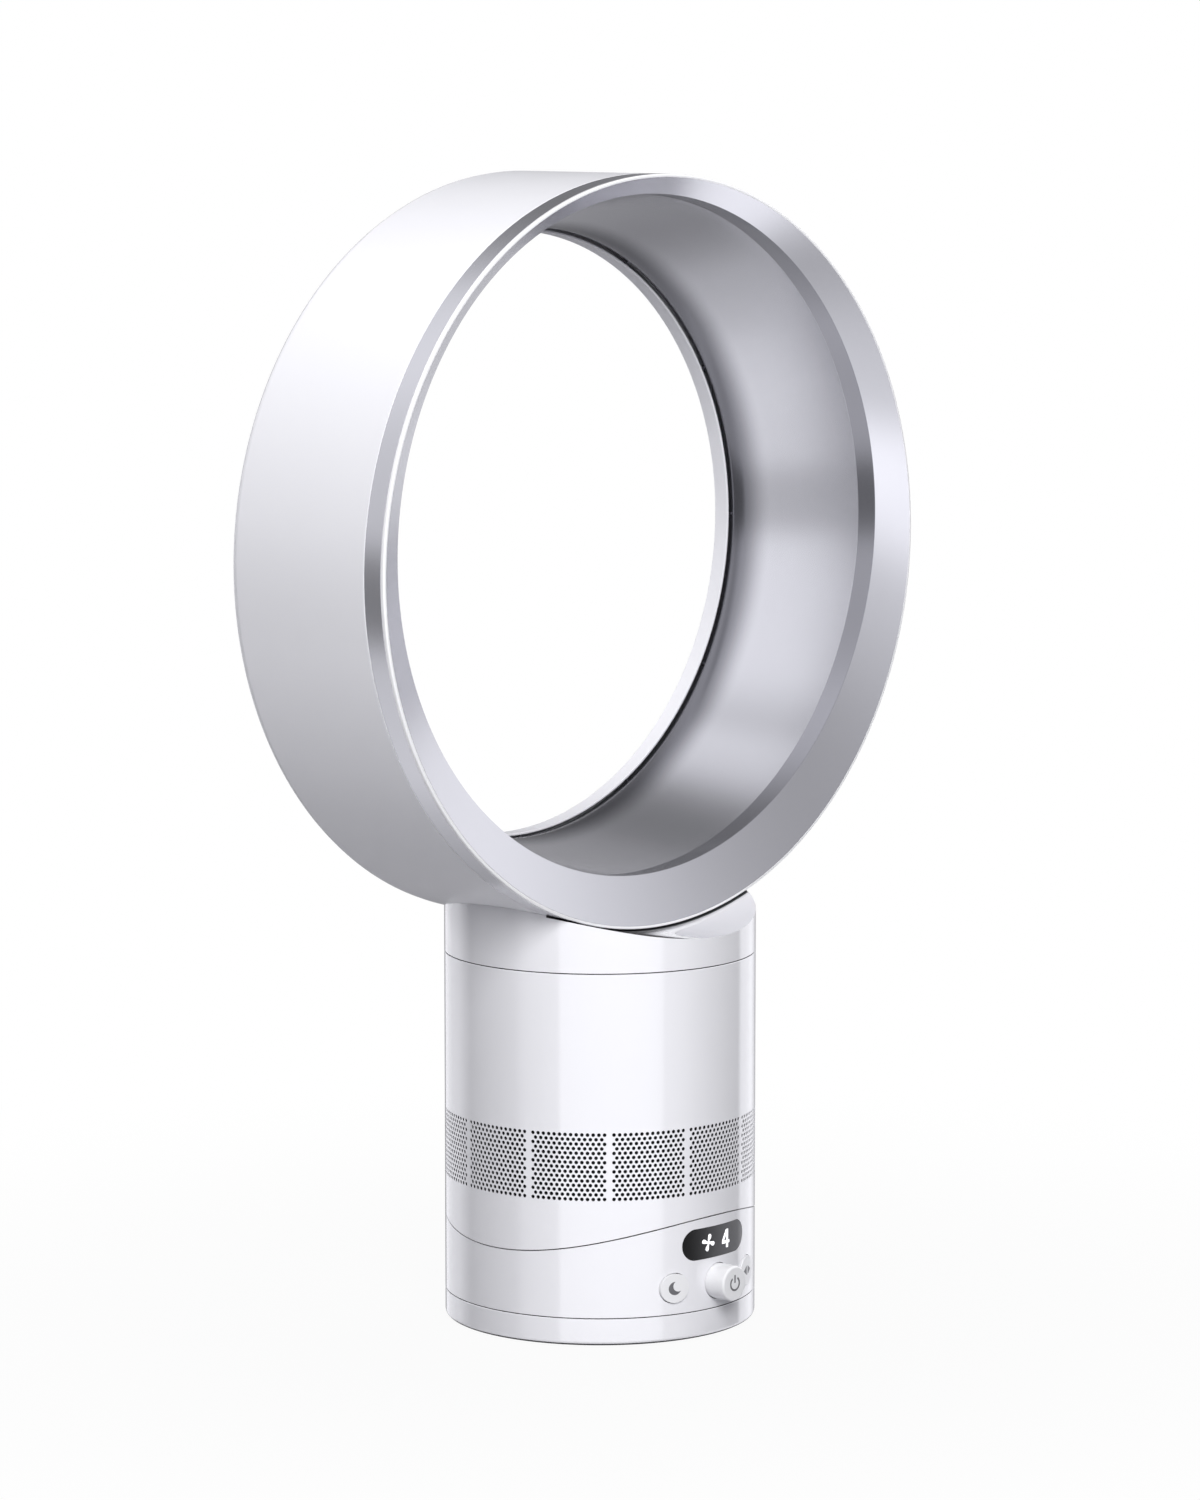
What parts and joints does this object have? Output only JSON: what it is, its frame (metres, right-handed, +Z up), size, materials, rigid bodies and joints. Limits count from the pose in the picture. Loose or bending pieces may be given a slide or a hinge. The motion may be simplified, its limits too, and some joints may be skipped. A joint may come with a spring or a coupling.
{
  "type": "bladeless fan",
  "caption": "Bladeless desk fan: a tall oval air ring on a round stand with a perforated inlet band, a dark display and push buttons; it swings, tilts and its hidden impeller turns.",
  "frame": {"origin": "on the table plane, on the upright axis of the round stand, where the rubber pads rest", "axes": "+Z up along the stand; the fan blows towards -Y, its display and buttons face -Y; +X is to the right in a view from the front"},
  "size_m": [0.3664, 0.1567, 0.5324],
  "materials": {
    "shell_white": "gloss",
    "button_white": "satin",
    "ring_silver": "satin",
    "window_black": "gloss",
    "module_black": "matte",
    "pad_rubber": "matte",
    "slide_acetal": "satin",
    "ribbon_grey": "satin",
    "screw_steel": "satin",
    "machined_steel": "satin",
    "circuit_green": "satin",
    "foam_charcoal": "matte",
    "duct_grey": "satin",
    "impeller_white": "satin",
    "winding_copper": "satin"
  },
  "bodies": {
    "foot": {"foot_shell": "shell_white", "base_plate": "shell_white", "foot_pads": "pad_rubber", "foot_screws": "screw_steel", "cord_gland": "pad_rubber", "drive_rack": "slide_acetal", "rack_screws": "screw_steel", "slide_ring": "slide_acetal", "pivot_clip": "machined_steel"},
    "turntable": {"turntable": "slide_acetal", "control_casing": "shell_white", "casing_screws": "screw_steel", "display_window": "window_black", "display_board": "circuit_green", "display_module": "module_black", "remote_receiver": "module_black", "key_switches": "module_black", "main_board": "circuit_green", "board_components": "module_black", "board_screws": "screw_steel", "ribbon_cable": "ribbon_grey", "gear_motor": "machined_steel", "gear_motor_screws": "screw_steel"},
    "drive_pinion": {"pinion": "slide_acetal", "pinion_shaft": "machined_steel"},
    "power_button": {"power_button": "button_white"},
    "night_button": {"night_button": "button_white"},
    "sweep_button": {"sweep_button": "button_white"},
    "upper": {"tilt_shoe": "slide_acetal", "tilt_runners": "slide_acetal", "runner_screws": "screw_steel", "shoe_screws": "screw_steel", "body_casing": "shell_white", "inlet_grille": "shell_white", "base_foam": "foam_charcoal", "shroud_seal": "pad_rubber", "impeller_shroud": "duct_grey", "duct_foam": "foam_charcoal", "guide_vanes": "duct_grey", "motor_bucket": "duct_grey", "motor_cap": "duct_grey", "motor_mounts": "pad_rubber", "motor_housing": "machined_steel", "stator": "machined_steel", "windings": "winding_copper", "bearings": "machined_steel", "neck_collar": "slide_acetal", "collar_screws": "screw_steel", "neck_seal": "pad_rubber", "ring_casing": "shell_white", "ring_neck": "shell_white", "ring_diffuser": "ring_silver", "ring_ribs": "ring_silver", "slit_spacers": "ring_silver", "front_flare": "ring_silver", "front_band": "ring_silver", "front_trim": "shell_white"},
    "rotor": {"rotor_magnet": "machined_steel", "motor_shaft": "machined_steel", "impeller": "impeller_white"}
  },
  "joints": [
    {"name": "oscillate", "type": "hinge", "parent": "foot", "child": "turntable", "pos_m": [0, 0, 0.0151], "axis": [0, 0, 1], "range_deg": [-35, 35]},
    {"name": "pinion_turn", "type": "hinge", "parent": "turntable", "child": "drive_pinion", "pos_m": [0.04125, 0, 0.0103], "axis": [0, 0, 1], "range_deg": [-201, 201]},
    {"name": "tilt", "type": "hinge", "parent": "turntable", "child": "upper", "pos_m": [0, 0, 0.236], "axis": [1, 0, 0], "range_deg": [-10, 10]},
    {"name": "impeller_spin", "type": "hinge", "parent": "upper", "child": "rotor", "pos_m": [0, 0, 0.12], "axis": [0, 0, 1], "continuous": true},
    {"name": "power_press", "type": "slide", "parent": "turntable", "child": "power_button", "axis": [0, 1, 0], "range_m": [0, 0.0012], "stiffness_N_per_m": 400},
    {"name": "night_press", "type": "slide", "parent": "turntable", "child": "night_button", "axis": [0, 1, 0], "range_m": [0, 0.0008], "stiffness_N_per_m": 300},
    {"name": "sweep_press", "type": "slide", "parent": "turntable", "child": "sweep_button", "axis": [0, 1, 0], "range_m": [0, 0.0008], "stiffness_N_per_m": 300}
  ],
  "couplings": [
    {"joint": "pinion_turn", "follows": "oscillate", "ratio": -5.7143}
  ]
}
